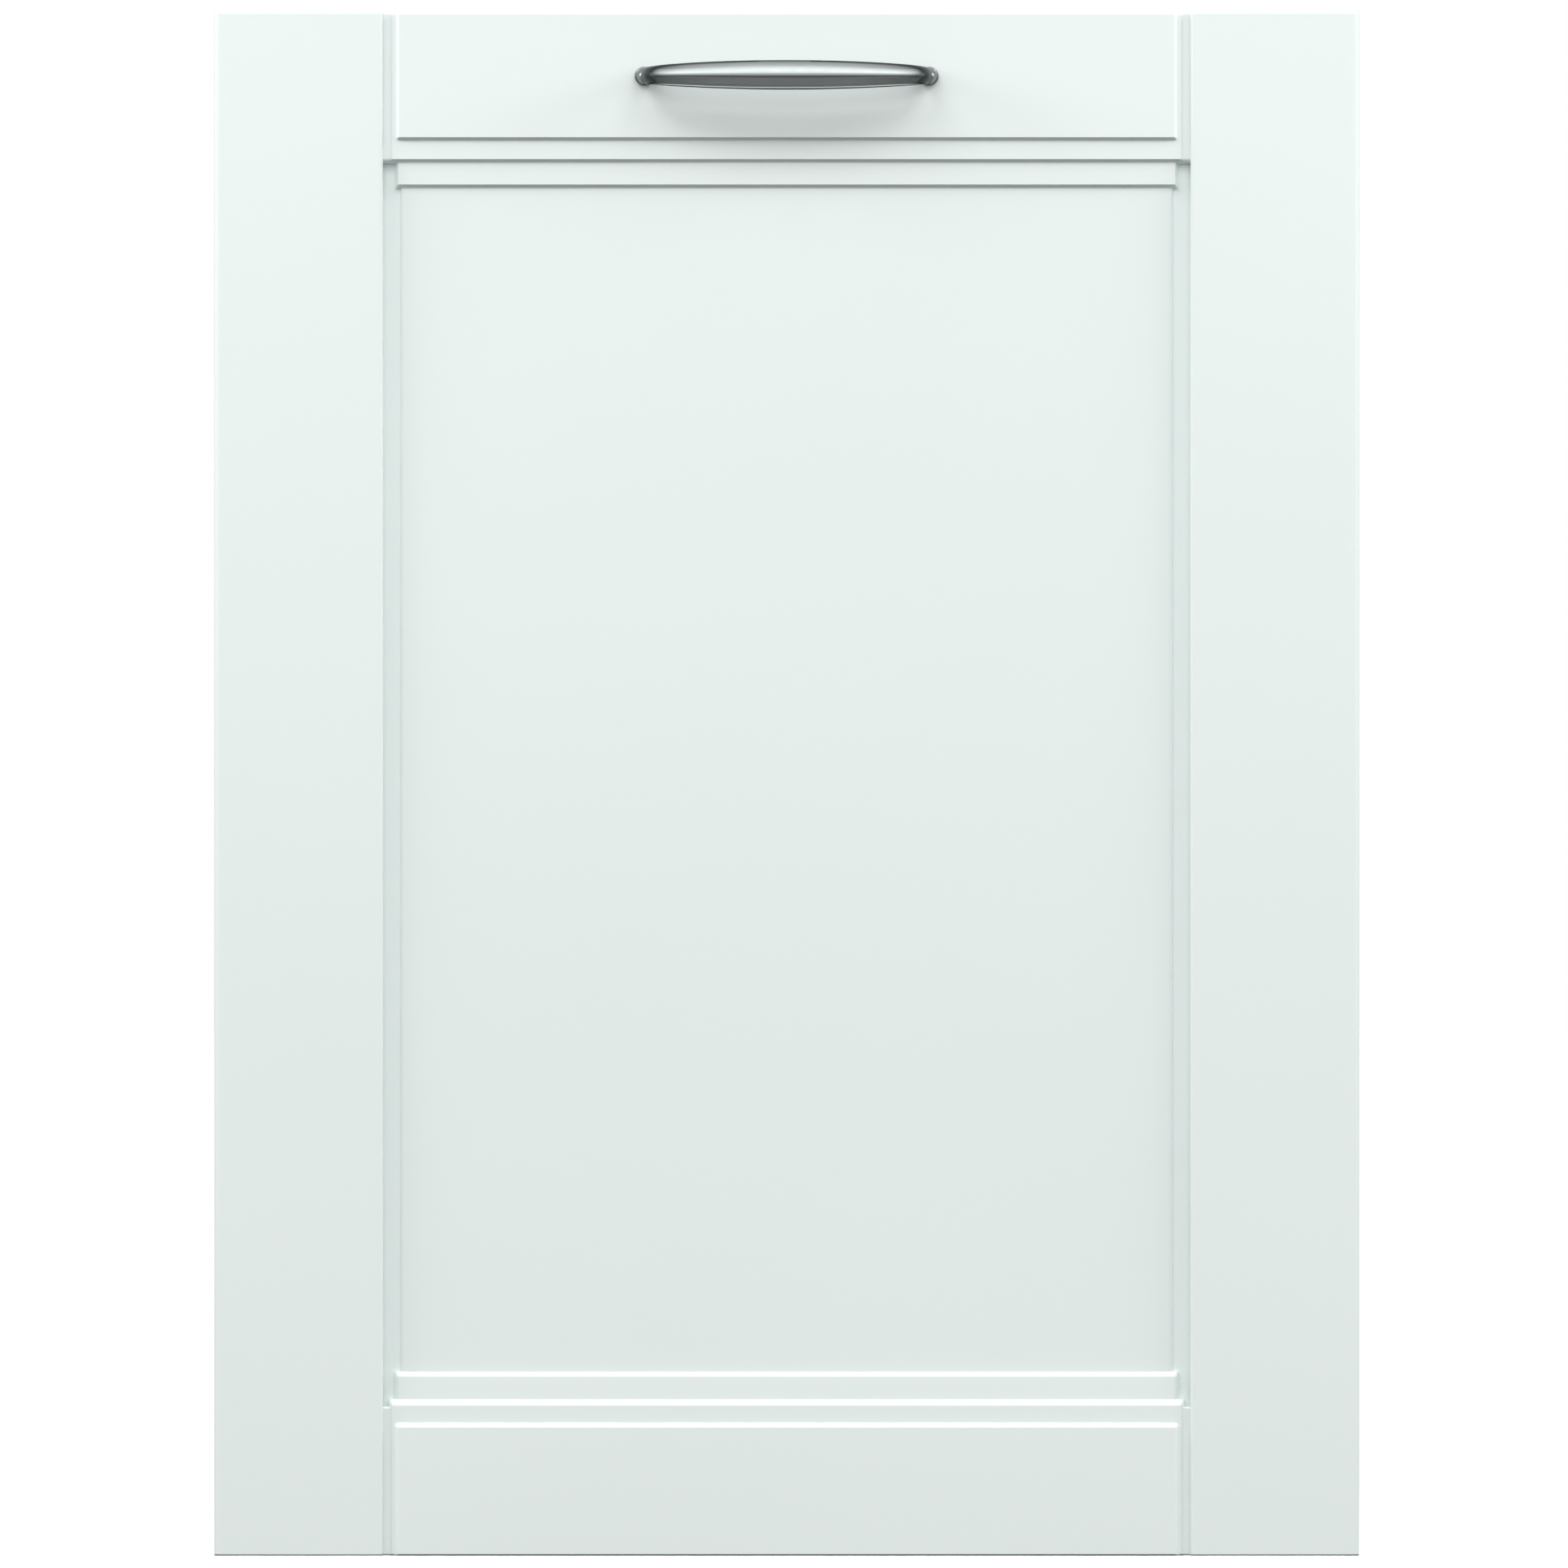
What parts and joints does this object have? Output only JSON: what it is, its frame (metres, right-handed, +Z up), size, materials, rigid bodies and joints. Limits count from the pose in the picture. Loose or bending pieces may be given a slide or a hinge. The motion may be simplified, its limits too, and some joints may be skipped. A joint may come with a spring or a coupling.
{
  "type": "dishwasher",
  "caption": "Built-in dishwasher with a stepped white furniture front and a satin steel bow handle, steel tub, racks and spray arms",
  "frame": {"origin": "on the floor, at the middle of the footprint", "axes": "+X to the right seen from the front, the front faces -Y, +Z up"},
  "size_m": [0.598, 0.602, 0.886],
  "materials": {
    "panel_lacquer": "satin white lacquer on board",
    "handle_steel": "satin stainless",
    "tub_steel": "bright rolled stainless",
    "zinc_steel": "galvanised sheet",
    "wire": "nylon coated wire",
    "grey_plastic": "moulded, fine texture",
    "white_plastic": "moulded, matt",
    "black_plastic": "moulded, matt",
    "blue_plastic": "moulded, glossy",
    "dark_glass": "smoked, glossy",
    "seal_rubber": "matt",
    "damping_felt": "pressed felt"
  },
  "bodies": {
    "machine": {"base_tray": "black_plastic", "circulation_pump": "black_plastic", "drain_pump": "black_plastic", "feed_pipe": "grey_plastic", "flat_filter": "tub_steel", "foot_front_left": "black_plastic", "foot_front_right": "black_plastic", "foot_rear_left": "black_plastic", "foot_rear_right": "black_plastic", "front_frame": "zinc_steel", "heat_exchanger": "white_plastic", "hinge_bracket_left": "zinc_steel", "hinge_bracket_right": "zinc_steel", "inlet_valve": "white_plastic", "lock_strike": "zinc_steel", "mains_inlet": "black_plastic", "rack_rail_left": "tub_steel", "rack_rail_right": "tub_steel", "rear_frame": "zinc_steel", "softener_tank": "white_plastic", "sump": "grey_plastic", "toe_kick_plate": "white_plastic", "top_cover": "zinc_steel", "tray_rail_left": "white_plastic", "tray_rail_right": "white_plastic", "tub": "tub_steel", "tub_gasket": "seal_rubber"},
    "door": {"furniture_panel": "panel_lacquer", "bow_handle": "handle_steel", "handle_screw_left": "zinc_steel", "handle_screw_right": "zinc_steel", "door_outer_skin": "zinc_steel", "door_insulation": "damping_felt", "door_inner_liner": "tub_steel", "control_fascia": "grey_plastic", "display_window": "dark_glass", "door_lock": "black_plastic", "dispenser_housing": "grey_plastic", "hinge_arm_left": "zinc_steel", "hinge_arm_right": "zinc_steel"},
    "lid": {"dispenser_lid": "grey_plastic"},
    "rinse_cap": {"rinse_aid_cap": "blue_plastic"},
    "lower_rack": {"lower_rack": "wire"},
    "tines": {"folding_tines": "wire"},
    "upper_rack": {"upper_rack": "wire"},
    "upper_arm": {"upper_spray_arm": "grey_plastic"},
    "lower_arm": {"lower_spray_arm": "grey_plastic"},
    "telescopic_rails": {"telescopic_rail_left": "tub_steel", "telescopic_rail_right": "tub_steel"},
    "cutlery_tray": {"cutlery_tray": "wire"},
    "filter": {"filter_cylinder": "grey_plastic"},
    "salt_cap": {"salt_cap": "blue_plastic"},
    "power_button": {"power_button": "handle_steel"},
    "programme_button": {"programme_button": "handle_steel"},
    "option_button": {"option_button": "handle_steel"},
    "start_button": {"start_button": "handle_steel"},
    "wheel_front_left": {"rack_wheel_front_left": "grey_plastic"},
    "wheel_front_right": {"rack_wheel_front_right": "grey_plastic"},
    "wheel_rear_left": {"rack_wheel_rear_left": "grey_plastic"},
    "wheel_rear_right": {"rack_wheel_rear_right": "grey_plastic"}
  },
  "joints": [
    {"name": "door_hinge", "type": "hinge", "parent": "machine", "child": "door", "pos_m": [0, -0.224, 0.13], "axis": [1, 0, 0], "range_deg": [0, 90]},
    {"name": "lower_rack_slide", "type": "slide", "parent": "machine", "child": "lower_rack", "axis": [0, -1, 0], "range_m": [0, 0.142]},
    {"name": "upper_rack_slide", "type": "slide", "parent": "machine", "child": "upper_rack", "axis": [0, -1, 0], "range_m": [0, 0.4005]},
    {"name": "telescopic_slide", "type": "slide", "parent": "machine", "child": "telescopic_rails", "axis": [0, -1, 0], "range_m": [0, 0.2005]},
    {"name": "cutlery_tray_slide", "type": "slide", "parent": "machine", "child": "cutlery_tray", "axis": [0, -1, 0], "range_m": [0, 0.2505]},
    {"name": "wheel_front_left_spin", "type": "hinge", "parent": "lower_rack", "child": "wheel_front_left", "pos_m": [-0.253, -0.06, 0.1813], "axis": [1, 0, 0], "range_deg": [0, 480]},
    {"name": "wheel_front_right_spin", "type": "hinge", "parent": "lower_rack", "child": "wheel_front_right", "pos_m": [0.253, -0.06, 0.1813], "axis": [1, 0, 0], "range_deg": [0, 480]},
    {"name": "wheel_rear_left_spin", "type": "hinge", "parent": "lower_rack", "child": "wheel_rear_left", "pos_m": [-0.253, 0.17, 0.1813], "axis": [1, 0, 0], "range_deg": [0, 480]},
    {"name": "wheel_rear_right_spin", "type": "hinge", "parent": "lower_rack", "child": "wheel_rear_right", "pos_m": [0.253, 0.17, 0.1813], "axis": [1, 0, 0], "range_deg": [0, 480]},
    {"name": "lower_arm_spin", "type": "hinge", "parent": "machine", "child": "lower_arm", "pos_m": [0, 0.032, 0.1835], "axis": [0, 0, 1], "continuous": true},
    {"name": "upper_arm_spin", "type": "hinge", "parent": "upper_rack", "child": "upper_arm", "pos_m": [0, 0.032, 0.5025], "axis": [0, 0, 1], "continuous": true},
    {"name": "power_button_press", "type": "slide", "parent": "door", "child": "power_button", "axis": [0, 0, 1], "range_m": [-0.0012, 0], "stiffness_N_per_m": 1500, "springref_m": 0.0006},
    {"name": "programme_button_press", "type": "slide", "parent": "door", "child": "programme_button", "axis": [0, 0, 1], "range_m": [-0.0012, 0], "stiffness_N_per_m": 1500, "springref_m": 0.0006},
    {"name": "option_button_press", "type": "slide", "parent": "door", "child": "option_button", "axis": [0, 0, 1], "range_m": [-0.0012, 0], "stiffness_N_per_m": 1500, "springref_m": 0.0006},
    {"name": "start_button_press", "type": "slide", "parent": "door", "child": "start_button", "axis": [0, 0, 1], "range_m": [-0.0012, 0], "stiffness_N_per_m": 1500, "springref_m": 0.0006},
    {"name": "dispenser_lid_slide", "type": "slide", "parent": "door", "child": "lid", "axis": [1, 0, 0], "range_m": [0, 0.048]},
    {"name": "rinse_cap_turn", "type": "hinge", "parent": "door", "child": "rinse_cap", "pos_m": [0.072, -0.189, 0.488], "axis": [0, 1, 0], "range_deg": [0, 90]},
    {"name": "filter_turn", "type": "hinge", "parent": "machine", "child": "filter", "pos_m": [0, -0.062, 0.14], "axis": [0, 0, 1], "range_deg": [0, 90]},
    {"name": "salt_cap_turn", "type": "hinge", "parent": "machine", "child": "salt_cap", "pos_m": [-0.17, -0.04, 0.165], "axis": [0, 0, 1], "continuous": true},
    {"name": "tine_fold", "type": "hinge", "parent": "lower_rack", "child": "tines", "pos_m": [-0.204, 0.02, 0.215], "axis": [0, 1, 0], "range_deg": [0, 88]}
  ],
  "couplings": [
    {"joint": "lower_rack_slide", "follows": "door_hinge", "m_per_rad": 0.09},
    {"joint": "upper_rack_slide", "follows": "door_hinge", "m_per_rad": 0.2546},
    {"joint": "telescopic_slide", "follows": "door_hinge", "m_per_rad": 0.1273},
    {"joint": "cutlery_tray_slide", "follows": "door_hinge", "m_per_rad": 0.1591},
    {"joint": "wheel_front_left_spin", "follows": "door_hinge", "ratio": 5.2941},
    {"joint": "wheel_front_right_spin", "follows": "door_hinge", "ratio": 5.2941},
    {"joint": "wheel_rear_left_spin", "follows": "door_hinge", "ratio": 5.2941},
    {"joint": "wheel_rear_right_spin", "follows": "door_hinge", "ratio": 5.2941}
  ]
}
